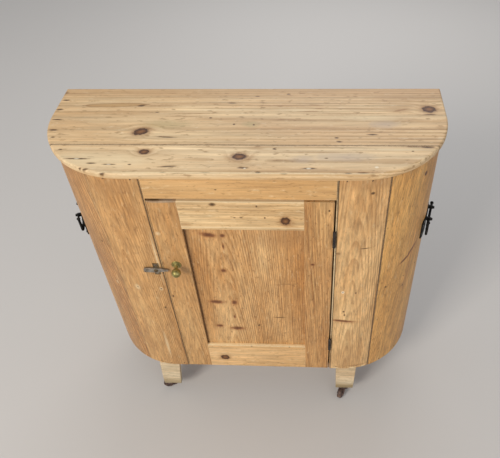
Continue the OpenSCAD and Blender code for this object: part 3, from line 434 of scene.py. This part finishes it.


# the top is paler, its grain lies across, and the lower part of its moulded edge is darkened: painted shade
topPine = {
    "grain": "X", "flat": True, "pale": "#e0c59a", "warm": "#d1ae80", "late": "#9d7341", "contrast": 0.75,
    "ring": 10.0, "lean": (0, 0, 0), "fibre": 100, "length": 0.04, "edgeTone": "#ecdab4",
    "scuffTone": "#ecd9b6", "fleckTone": "#8f6c42", "wander": 18, "fibreDepth": 0.25, "fleck": 130,
    "patchTone": "#c49a68", "fade": {"low": 1041, "high": 1054, "uneven": 4, "tone": "#c79c66", "share": 0.6}}
# the rails are as pale, with closer rings
railPine = {
    "grain": "X", "pale": "#dec294", "warm": "#cfab7a", "late": "#b0854e", "contrast": 0.55, "ring": 5.6,
    "lean": (0, 0, 0), "length": 0.05, "edgeTone": "#f0dcb2", "scuffTone": "#ecd6ac",
    "fleckTone": "#96703f", "patchTone": "#c8985e", "patchShare": 0.4}

# each board with its marks, placed as in the photograph, and by guess on the side boards
boards = {
    "top_rear_board": {
        "look": dict(topPine, pith=(1120, -60, 0)),
        "marks": {
            "stainAndShade": [(-172, 128, 1057, 100, 4), (501, 21, 1057, 9, 7), (333, 104, 1057, 85, 4),
                      (425, 157, 1057, 90, 26), (402, 102, 1057, 30, 14), (0, 190, 1057, 2400, 24)],
            "green": [(-206, 32, 1057, 52, 15), (17, 33, 1057, 18, 11)],
            "mauve": [(360, 34, 1057, 34, 14)],
            "resin": [(-362, 122, 1057, 86, 9.5, 2)],
            "grimeAndShade": [(-522, 184, 1057, 9, 6)],
            "pale": [(135, 99, 1057, 46, 4.5), (330, 60, 1057, 70, 9), (-60, 100, 1057, 80, 3)],
            "joint": [(0, -54.5, 1057, 2400, 2)],
            "line": [(-137, 82, 1057, 64, 2), (-162, 68, 1057, 58, 1.7), (-233, 118, 1057, 50, 3),
                     (274, 83, 1057, 110, 1.8), (222, 76, 1057, 80, 1.8), (88, 118, 1057, 110, 1.8),
                     (185, 122, 1057, 17, 2, -4), (192, 105, 1057, 14, 2.2), (166, 92, 1057, 30, 2.2, 3),
                     (408, 99, 1057, 22, 4, 20)],
            "shake": [(-290, 119, 1057, 10, 4, 8), (-43, 132, 1057, 11, 2.2), (-92, 62, 1057, 4, 3),
                      (-27, 33, 1057, 3, 3), (-240, 88, 1057, 6, 2), (-195, -23, 1057, 24, 2.2, -3),
                      (-512, 101, 1057, 10, 3.4), (-503, 53, 1057, 14, 2.6), (-498, 6, 1057, 11, 3.4),
                      (-489, -25, 1057, 5, 2.4), (-508, 146, 1057, 9, 3), (238, -24, 1057, 5, 3),
                      (244, -40, 1057, 6.5, 3, -10), (328, -10, 1057, 12, 2.8), (109, 176, 1057, 5, 2.6),
                      (24, 165, 1057, 6, 1.8), (25, 31, 1057, 2.6, 3), (482, 79, 1057, 15, 2.4)],
            "knot": [(-265, 0, 1057, 18, 13, 18), (482, 103, 1057, 16, 13)]}},
    "top_front_board": {
        # the front board is paler than the rear one: partly its own wood, partly painted light that stands in
        # for the stronger light on the front
        "look": dict(topPine, pith=(1120, 110, 0), pale="#e8cfa6", warm="#dab98b"),
        "marks": {
            "stainAndShade": [(54, -69, 1057, 32, 7)],
            "mauve": [(156, -109, 1057, 26, 12), (254, -101, 1057, 64, 15)],
            "pale": [(391, -71, 1057, 54, 4), (-413, -150, 1057, 26, 8, -32), (-370, -115, 1057, 120, 34),
                     (70, -70, 1057, 14, 4)],
            "joint": [(0, -56.5, 1057, 2400, 2)],
            "line": [(177, -83, 1057, 122, 1.8)],
            "shake": [(-484, -56, 1057, 5, 3), (-367, -152, 1057, 8, 2), (-399, -113, 1057, 30, 2.6),
                      (-452, -76, 1057, 5, 2.2), (-358, -130, 1057, 11, 2.4), (-313, -134, 1057, 15, 2.2),
                      (-263, -134, 1057, 4, 2.2), (-383, -148, 1057, 5, 2), (-323, -166, 1057, 7, 2),
                      (-165, -140, 1057, 20, 2.4, 3), (13, -144, 1057, 12, 3), (-176, -163, 1057, 7, 2),
                      (-75, -162, 1057, 12, 1.3), (171, -145, 1057, 16, 2.6), (457, -61, 1057, 17, 3.4, -4),
                      (428, -60, 1057, 22, 1.6), (51, -161, 1057, 6, 3.4), (113, -165, 1057, 8, 1.8),
                      (263, -162, 1057, 8, 1.8), (297, -160, 1057, 13, 1.8), (212, -106, 1057, 4, 1.7),
                      (421, -77, 1057, 3, 1.8), (85, -68, 1057, 5, 1.6, 20), (85, -72, 1057, 5, 1.6, -20)],
            "knot": [(-238, -84, 1057, 12, 9), (1, -101, 1057, 16, 11)],
            # painted highlight along the upper front arris
            "arris": [(-20, -163.5, 1057, 330, 1.6)],
            "filler": [(-400, -113, 1057, 6, 1.6), (-314, -134, 1057, 5, 1.4), (18, -146, 1057, 2.6, 2),
                       (170, -145, 1057, 5, 2.4), (330, -139, 1057, 4, 3)]}},
    "frieze_rail": {
        "look": dict(railPine, pith=(1080, 120, 0), pale="#d8b07a", warm="#c99d66", contrast=0.35,
                     fibreDepth=0.18),
        "marks": {
            "line": [(60, -159, 1010, 60, 1.6)],
            "shake": [(-57, -159, 1000, 3, 1.6)]}},
    "door_top_rail": {
        "look": dict(railPine, pith=(950, 100, 0)),
        "marks": {
            "stainAndShade": [(-150, -159, 880, 14, 9), (128, -159, 872, 22, 9, -30)],
            "pale": [(-20, -156, 961, 2400, 3), (-2, -159, 870, 2400, 2)],
            "shake": [(-71, -159, 951, 8, 5.5), (40, -159, 946, 2.4, 3), (-19, -159, 906, 3, 1.6),
                      (-2, -159, 906, 4, 1.8), (59, -159, 906, 2, 3)],
            "knot": [(111, -159, 895, 11, 12)]}},
    "door_bottom_rail": {
        "look": dict(railPine, pith=(330, 90, 0), pale="#e1bc8a", warm="#d2a771"),
        "marks": {
            "shake": [(-17, -158, 319, 3, 3), (107, -158, 319, 3, 3)],
            "knot": [(-111, -159, 249, 13, 11)],
            # painted highlight along the rail's upward face, where light from above falls
            "arris": [(-2, -155, 321, 2400, 1.7)]}},
    "door_panel": {
        "look": {"pith": (58, 146, 0), "lean": (0.08, 0, 0), "ring": 5.4, "contrast": 0.95, "patchShare": 0.8,
                 "fibreDepth": 0.36, "pale": "#d8b17c", "warm": "#c4945c"},
        "marks": {
            "stainAndShade": [(-147, -150, 851, 12, 14), (90, -150, 820, 70, 34)],
            # painted shade: the dark rows at the left edge are the shadow the lock stile casts into the
            # recess, and the dark line at the right edge is the shade in the gap by the hinge stile
            "grimeAndShade": [(-165, -150, 790, 15, 140), (-165, -150, 560, 11, 380)],
            "seam": [(-165, -150, 590, 8, 1200), (164, -150, 590, 4, 1200)],
            "line": [(108, -150, 631, 34, 2.4, 2)],
            "shake": [(82, -150, 469, 17, 1.8, 4), (14, -150, 425, 3, 5, -30)],
            "redKnot": [(-97, -150, 832, 20, 7.5, -12), (-60, -150, 830, 6.5, 7), (-62, -150, 788, 2.4, 9),
                        (-72, -150, 687, 7.5, 7), (-108, -150, 542, 19, 7.5, -4), (-54, -150, 540, 8, 9),
                        (-111, -150, 419, 10, 6.5), (-56, -150, 407, 19, 8.5), (-60, -150, 468, 2.4, 7)]}},
    "door_lock_stile": {
        "look": {"pith": (185, 140, 0), "lean": (0.05, 0, 0), "ring": 4.4, "pale": "#c9a06b",
                 "warm": "#b78953"},
        "marks": {
            "stainAndShade": [(-200, -159, 700, 34, 60)],
            "grey": [(-200, -150, 963, 40, 7)],
            "grimeAndShade": [(-228, -159, 694, 4, 6)],
            "pale": [(-229, -159, 844, 5, 5)],
            "shake": [(-219, -152, 963, 20, 4), (-233, -159, 578, 2.6, 6)]}},
    "door_hinge_stile": {
        "look": {"pith": (-120, 40, 0), "lean": (0.03, 0, 0), "ring": 4.2, "contrast": 0.95,
                 "fibreDepth": 0.42, "pale": "#cda36c", "warm": "#ba8a55"},
        "marks": {
            "stainAndShade": [(181, -159, 729, 14, 9), (177, -159, 389, 7, 60)],
            "shake": [(222, -159, 933, 2.6, 3.4)],
            "redKnot": [(181, -159, 729, 5, 4)]}},
    "left_front_stave": {
        "look": {"pith": (325, 150, 0), "lean": (0.06, 0, 0), "contrast": 0.85, "ring": 5.2,
                 "pale": "#cba26d", "warm": "#b88a54"},
        "marks": {
            # the first mark of this row is painted shadow under the top's overhang, over grime
            "stainAndShade": [(-330, -153, 1004, 60, 26), (-279, -159, 918, 14, 22), (-359, -146, 330, 14, 90)],
            # the first pale mark is a painted highlight along the stave's edge beside the door gap
            "pale": [(-251, -159, 742, 2.6, 72), (-263, -159, 611, 4, 6), (-335, -153, 611, 7, 10),
                     (-297, -159, 312, 4, 56)],
            # painted shade in the door gap beside the lock stile
            "seam": [(-243, -159, 618, 2.4, 1400)],
            "shake": [(-267, -159, 521, 3, 4)]}},
    "right_front_stave": {
        "look": {"pith": (-300, 152, 0), "lean": (0.06, 0, 0), "ring": 5.0, "contrast": 0.95,
                 "fleckShare": 0.35, "fibreDepth": 0.4, "pale": "#e1bc87", "warm": "#cfa168"},
        "marks": {
            # the last mark of this row is painted shadow under the top's overhang, over grime
            "stainAndShade": [(280, -159, 462, 34, 7, -6), (298, -159, 388, 9, 34), (292, -159, 262, 48, 80),
                      (308, -158, 1018, 60, 15)],
            "grimeAndShade": [(249, -159, 775, 6, 5)],
            # the first line is the joint with the corner stave; the second is painted shade in the door gap
            # by the hinge stile
            "seam": [(369, -142, 618, 3, 1400), (243, -159, 618, 1.6, 1400)],
            "line": [(330, -153, 212, 40, 3)],
            "shake": [(326, -155, 989, 5, 4, 20), (321, -156, 794, 13, 1.6), (275, -159, 517, 3, 4),
                      (278, -159, 500, 2, 5)],
            "redKnot": [(272, -159, 470, 32, 4.5, -8)],
            "arris": [(262, -159, 198, 9, 3), (318, -156, 199, 12, 3), (352, -148, 198, 6, 3)],
            "filler": [(269, -159, 609, 4, 5)]}},
    "left_corner_stave": {
        "look": {"pith": (470, -60, 0), "contrast": 1.0, "ring": 6.2, "late": "#84501f", "fibreDepth": 0.46,
                 "patchShare": 0.6, "patchTone": "#ae7f48", "streakDepth": 0.14, "pale": "#cba26e",
                 "warm": "#ba8c59"},
        "marks": {
            # this mark is painted shadow under the top's overhang, over grime
            "stainAndShade": [(-410, -120, 1004, 70, 26)],
            "pale": [(-407, -122, 597, 4, 6)],
            "shake": [(-407, -122, 774, 3, 4)],
            "knot": [(-505, 30, 480, 8, 14, 10)]}},
    "right_corner_stave": {
        "look": {"pith": (-470, -60, 0), "contrast": 0.85, "fibreDepth": 0.4, "pale": "#dcac68",
                 "warm": "#ca914a"},
        "marks": {
            "stainAndShade": [(450, -86, 559, 9, 12), (463, -71, 466, 7, 11), (371, -141, 593, 8, 7),
                      (444, -92, 325, 8, 36)],
            "seam": [(369, -142, 618, 3, 1400)],
            "shake": [(394, -130, 602, 3, 4), (451, -85, 559, 3, 5)],
            "redKnot": [(462, -72, 705, 24, 4.5, 35), (444, -92, 686, 22, 4.5, 20),
                        (509, 40, 350, 8, 15, 12)],
            "knot": [(463, -71, 984, 5, 6, 30)]}},
    "left_side_board": {
        "look": {"pith": (430, -150, 0)},
        "marks": {
            "redKnot": [(-514, 160, 330, 5, 11, -8)],
            "knot": [(-514, 130, 760, 7, 13, 14)]}},
    "right_side_board": {
        "look": {"pith": (-430, -150, 0)},
        "marks": {
            "shake": [(514, 110, 880, 2, 30)],
            "knot": [(514, 140, 560, 8, 14, -12)]}},
}

for boardName, board in boards.items():
    dress(makePine("pine " + boardName.replace("_", " "), board["look"], board["marks"]), [boardName])
print("boards finished")

casterCorners = ["left_front", "right_front", "left_rear", "right_rear"]
# wood without wax: the feet are scrubbed and nearly matt and darker over their lower third, and the inside is
# darker and dull
otherPines = {
    "scrubbed pine of the feet": {
        "look": {"grain": "X", "pale": "#dccbab", "warm": "#c9b18c", "late": "#a58a62", "contrast": 0.6,
                 "pith": (60, 40, 0), "rough": 0.62, "patchTone": "#b99468", "fleckTone": "#8a7450",
                 "fade": {"low": 58, "high": 128, "uneven": 30, "tone": "#83714a", "share": 0.85}},
        "marks": {"filler": [(-325, -149, 52, 40, 3), (296, -149, 52, 40, 3)]},
        "nodes": [place + "_foot" for place in casterCorners]},
    "old unwaxed pine": {
        "look": {"grain": "X", "flat": True, "pale": "#b28c5e", "warm": "#93683f", "late": "#6f4a2a",
                 "pith": (500, 60, 0), "rough": 0.7},
        "marks": {"knot": [(-180, 90, 628, 12, 9), (240, 40, 216, 14, 10), (120, 120, 628, 9, 7),
                           (-320, 110, 216, 10, 8)]},
        "nodes": ["rear_top_rail", "base_rear_board", "base_front_board", "shelf_rear_board",
                  "shelf_front_board", "left_top_former", "right_top_former", "left_shelf_former",
                  "right_shelf_former"]},
    "old pine posts": {
        "look": {"pale": "#c39c6a", "warm": "#a67a4a", "late": "#7d5530", "rough": 0.65},
        # the arris row paints the strip in the hinge-side door gap pale: partly its own pale wood, partly
        # painted light against the gap's shade
        "marks": {"arris": [(240.6, -159, 655, 1.6, 300)], "seam": [(240.6, -159, 1004, 4, 60)]},
        "nodes": ["left_rear_post", "right_rear_post", "left_door_post", "right_door_post"]},
}
for name, pine in otherPines.items():
    dress(makePine(name, pine["look"], pine["marks"]), pine["nodes"])
print("feet, inside and posts finished")

# Old ironwork, brass and tin. The tone drifts from dark to light over patches, the arrises are rubbed, and
# a grit breaks up the shine. Scales count per metre: the grit of cast or rusty iron is about 0.4 mm in life
# and is drawn at 1.1 mm to show.
metalDefaults = {
    "main": "#2b2a29", "dark": "#1b1a1a", "light": "#3a3734", "toneStops": (0.36, 0.55, 0.68),
    "patch": 60, "grit": 900, "relief": 0.3, "reliefHeight": 0.4, "metal": 0.85,
    "rough": 0.55, "roughSpread": 0.11, "roughLimits": (0.35, 0.7),
    "arris": 0.8, "edgeTone": "#55514c", "edgeWear": 0.5, "edgeLimits": (0.99, 0.75)}


def makeMetal(name, settings):
    metal = dict(metalDefaults, **settings)
    material, tree = newMaterial(name)
    spot = addNode(tree, "ShaderNodeTexCoord").outputs["Object"]
    coarse = addNode(tree, "ShaderNodeTexNoise", {"Vector": spot, "Scale": metal["patch"], "Detail": 5.0,
                                                  "Roughness": 0.65}).outputs["Fac"]
    grit = addNode(tree, "ShaderNodeTexNoise", {"Vector": spot, "Scale": metal["grit"], "Detail": 3.0,
                                                "Roughness": 0.6}).outputs["Fac"]
    tones = list(zip(metal["toneStops"], (metal["dark"], metal["main"], metal["light"])))
    blend = addNode(tree, "ShaderNodeValToRGB", {0: coarse}, stops=tones).outputs[0]
    colour, rounded = wearEdges(tree, metal, blend)
    low, high = metal["roughLimits"]
    rough = addNode(tree, "ShaderNodeMapRange",
                    {0: coarse, 1: low, 2: high, 3: metal["rough"] + metal["roughSpread"],
                     4: metal["rough"] - metal["roughSpread"]})
    bump = addNode(tree, "ShaderNodeBump", {"Height": grit, "Strength": metal["relief"],
                                            "Distance": metal["reliefHeight"] * mm, "Normal": rounded})
    shader = addNode(tree, "ShaderNodeBsdfPrincipled",
                     {"Base Color": colour, "Metallic": metal["metal"], "Roughness": rough.outputs[0],
                      "Normal": bump.outputs[0]})
    addNode(tree, "ShaderNodeOutputMaterial", {"Surface": shader.outputs[0]})
    return material


metals = {
    # sand-cast and blacked long ago: nearly black and dull, with a grey glint on the arrises
    "black cast iron": {
        "look": {},
        "nodes": ["left_handle_plate", "right_handle_plate", "left_bail", "right_bail", "handle_screws"]},
    # forged, and rubbed bare by fingers: pale grey, the smoothest of the iron
    "rubbed wrought iron": {
        "look": {"main": "#a1998d", "dark": "#6a6157", "light": "#bdb6ac", "edgeTone": "#cfc9c0",
                 "rough": 0.42},
        "nodes": ["turn_button", "button_screws"]},
    # sheet iron under old varnish: brown, little shine
    "brown iron plate": {
        "look": {"main": "#86704f", "dark": "#5c4b34", "light": "#9c8560", "edgeTone": "#ab9670",
                 "rough": 0.6, "metal": 0.6},
        "nodes": ["button_plate"]},
    # bare cast iron that has rusted and been waxed over: red-brown and nearly matt
    "rusty iron": {
        "look": {"main": "#5a443c", "dark": "#33272a", "light": "#7c6459", "edgeTone": "#927c70",
                 "rough": 0.7, "metal": 0.4},
        "nodes": ["caster_plates"] + [place + "_horn" for place in casterCorners]},
    # the same iron, rubbed paler where the wheels roll
    "rubbed caster iron": {
        "look": {"main": "#6a5348", "dark": "#40332f", "light": "#8d7565", "edgeTone": "#a8948a",
                 "rough": 0.6, "metal": 0.4},
        "nodes": [place + "_wheel" for place in casterCorners]},
    # cast butts, dark with old oil: brown-black, a soft shine
    "dark hinge iron": {
        "look": {"main": "#3a3431", "dark": "#221f1e", "light": "#544a44", "metal": 0.6},
        "nodes": ["upper_frame_leaf", "lower_frame_leaf", "upper_door_leaf", "lower_door_leaf", "hinge_pins",
                  "frame_hinge_screws", "door_hinge_screws"]},
    # turned and long unpolished: olive-yellow, smooth, brighter where it is gripped
    "aged brass": {
        "look": {"main": "#a1965c", "dark": "#776e41", "light": "#bcb17a", "edgeTone": "#d3c692",
                 "rough": 0.42, "metal": 0.8, "patch": 90, "relief": 0.12},
        "nodes": ["knob", "knob_rose"]},
    # rolled sheet with its tin gone dull: an even mid grey with faint clouds
    "dull tinned sheet": {
        "look": {"main": "#888a88", "dark": "#7d7f7d", "light": "#929593", "edgeTone": "#b9bcba",
                 "roughSpread": 0.03, "patch": 26, "metal": 0.8},
        "nodes": ["left_lining", "right_lining", "door_lining"]},
}
for name, metal in metals.items():
    dress(makeMetal(name, metal["look"]), metal["nodes"])
print("metals finished")

# nails of the staves: round heads of rusty iron in rows at the shelf, the base and the top. A place is a
# distance from the middle on the flat front, an angle round the corner or a depth on the flat side, and then
# its height; sizes are in mm and degrees. Each head's size is random by its place in the list
nails = {
    "headRadius": 2.1, "headHeight": 0.4, "leastScale": 0.75, "mostScale": 1.2, "seed": 7,
    "segments": 16, "rings": 8,
    "look": {"main": "#5a4636", "dark": "#35281d", "light": "#7d6752", "edgeTone": "#9a8770",
             "rough": 0.6, "metal": 0.4},
    "rows": [
        ("left", [("front", 263, 611), ("angle", 13, 611), ("angle", 33, 604), ("angle", 46, 606),
                  ("angle", 61, 603), ("angle", 77, 605), ("side", 110, 604), ("side", 160, 606)]),
        ("right", [("front", 269, 609), ("angle", 6, 606), ("angle", 29, 604), ("angle", 46, 606),
                   ("angle", 63, 603), ("angle", 79, 605), ("side", 120, 604), ("side", 170, 606)]),
        ("left", [("front", 258, 206), ("angle", 5, 205), ("angle", 14, 207), ("angle", 36, 205),
                  ("angle", 55, 206), ("angle", 74, 205), ("side", 120, 206), ("side", 175, 205)]),
        ("right", [("front", 262, 206), ("angle", 2, 205), ("angle", 12, 207), ("angle", 33, 205),
                   ("angle", 52, 206), ("angle", 71, 205), ("side", 115, 206), ("side", 180, 205)]),
        ("left", [("front", 262, 1030), ("angle", 12, 1029), ("angle", 40, 1030), ("angle", 68, 1031),
                  ("side", 150, 1030)]),
        ("right", [("front", 262, 1030), ("angle", 10, 1029), ("angle", 38, 1030), ("angle", 66, 1031),
                   ("side", 150, 1030)])]}


def nailPlace(side, kind, value, height):
    # place on the wall in metres and the direction that the wall faces there
    turn = {"front": 0, "angle": math.radians(value), "side": math.pi / 2}[kind]
    x = bowedCorner["centreX"] + bowedCorner["wallRadius"] * math.sin(turn)
    y = bowedCorner["centreY"] - bowedCorner["wallRadius"] * math.cos(turn)
    if kind == "front":
        x = value
    if kind == "side":
        y = value
    sign = -1 if side == "left" else 1
    return (sign * x * mm, y * mm, height * mm), (sign * math.sin(turn), -math.cos(turn), 0)


def nailTree(settings, material):
    # the node tree, and its inputs by socket identifier with their values
    tree = bpy.data.node_groups.new("nailHeads", "GeometryNodeTree")
    tree.interface.new_socket("Geometry", in_out="INPUT", socket_type="NodeSocketGeometry")
    sizes = [("Head Radius", "Float", settings["headRadius"] * mm),
             ("Head Height", "Float", settings["headHeight"] * mm),
             ("Least Scale", "Float", settings["leastScale"]), ("Most Scale", "Float", settings["mostScale"]),
             ("Seed", "Int", settings["seed"]), ("Material", "Material", material)]
    values = {}
    for name, kind, value in sizes:
        socket = tree.interface.new_socket(name, in_out="INPUT", socket_type="NodeSocket" + kind)
        values[socket.identifier] = value
    tree.interface.new_socket("Geometry", in_out="OUTPUT", socket_type="NodeSocketGeometry")
    given = addNode(tree, "NodeGroupInput").outputs
    head = addNode(tree, "GeometryNodeMeshUVSphere", {"Segments": settings["segments"],
                                                      "Rings": settings["rings"], "Radius": 1.0})
    size = addNode(tree, "ShaderNodeCombineXYZ", {0: given["Head Radius"], 1: given["Head Radius"],
                                                  2: given["Head Height"]})
    flat = addNode(tree, "GeometryNodeTransform", {"Geometry": head.outputs[0], "Scale": size.outputs[0]})
    aim = addNode(tree, "GeometryNodeInputNamedAttribute", {"Name": "aim"}, data_type="FLOAT_VECTOR")
    turned = addNode(tree, "FunctionNodeAlignRotationToVector", {"Vector": aim.outputs[0]}, axis="Z")
    uneven = addNode(tree, "FunctionNodeRandomValue", {2: given["Least Scale"], 3: given["Most Scale"],
                                                       "Seed": given["Seed"]})
    placed = addNode(tree, "GeometryNodeInstanceOnPoints",
                     {"Points": given["Geometry"], "Instance": flat.outputs[0], "Rotation": turned.outputs[0],
                      "Scale": uneven.outputs[1]})
    whole = addNode(tree, "GeometryNodeRealizeInstances", {"Geometry": placed.outputs[0]})
    smooth = addNode(tree, "GeometryNodeSetShadeSmooth", {"Geometry": whole.outputs[0]})
    painted = addNode(tree, "GeometryNodeSetMaterial", {"Geometry": smooth.outputs[0],
                                                        "Material": given["Material"]})
    addNode(tree, "NodeGroupOutput", {0: painted.outputs[0]})
    return tree, values


def makeNails(settings):
    places = [nailPlace(side, *place) for side, row in settings["rows"] for place in row]
    mesh = bpy.data.meshes.new("nailPoints")
    mesh.from_pydata([place for place, facing in places], [], [])
    aims = mesh.attributes.new("aim", "FLOAT_VECTOR", "POINT")
    for item, (place, facing) in zip(aims.data, places):
        item.vector = facing
    holder = bpy.data.objects.new("nailPoints", mesh)
    bpy.context.scene.collection.objects.link(holder)
    tree, values = nailTree(settings, makeMetal("rusty nail iron", settings["look"]))
    modifier = holder.modifiers.new("nailHeads", "NODES")
    modifier.node_group = tree
    for key, value in values.items():
        modifier[key] = value
    evaluated = holder.evaluated_get(bpy.context.evaluated_depsgraph_get())
    made = bpy.data.meshes.new_from_object(evaluated)
    made.name = "nailHeads"
    holder.modifiers.clear()
    bpy.data.objects.remove(holder)
    piece = bpy.data.objects.new("nailHeads", made)
    bpy.context.scene.collection.objects.link(piece)
    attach(piece, "carcass")


makeNails(nails)
print("nails placed")
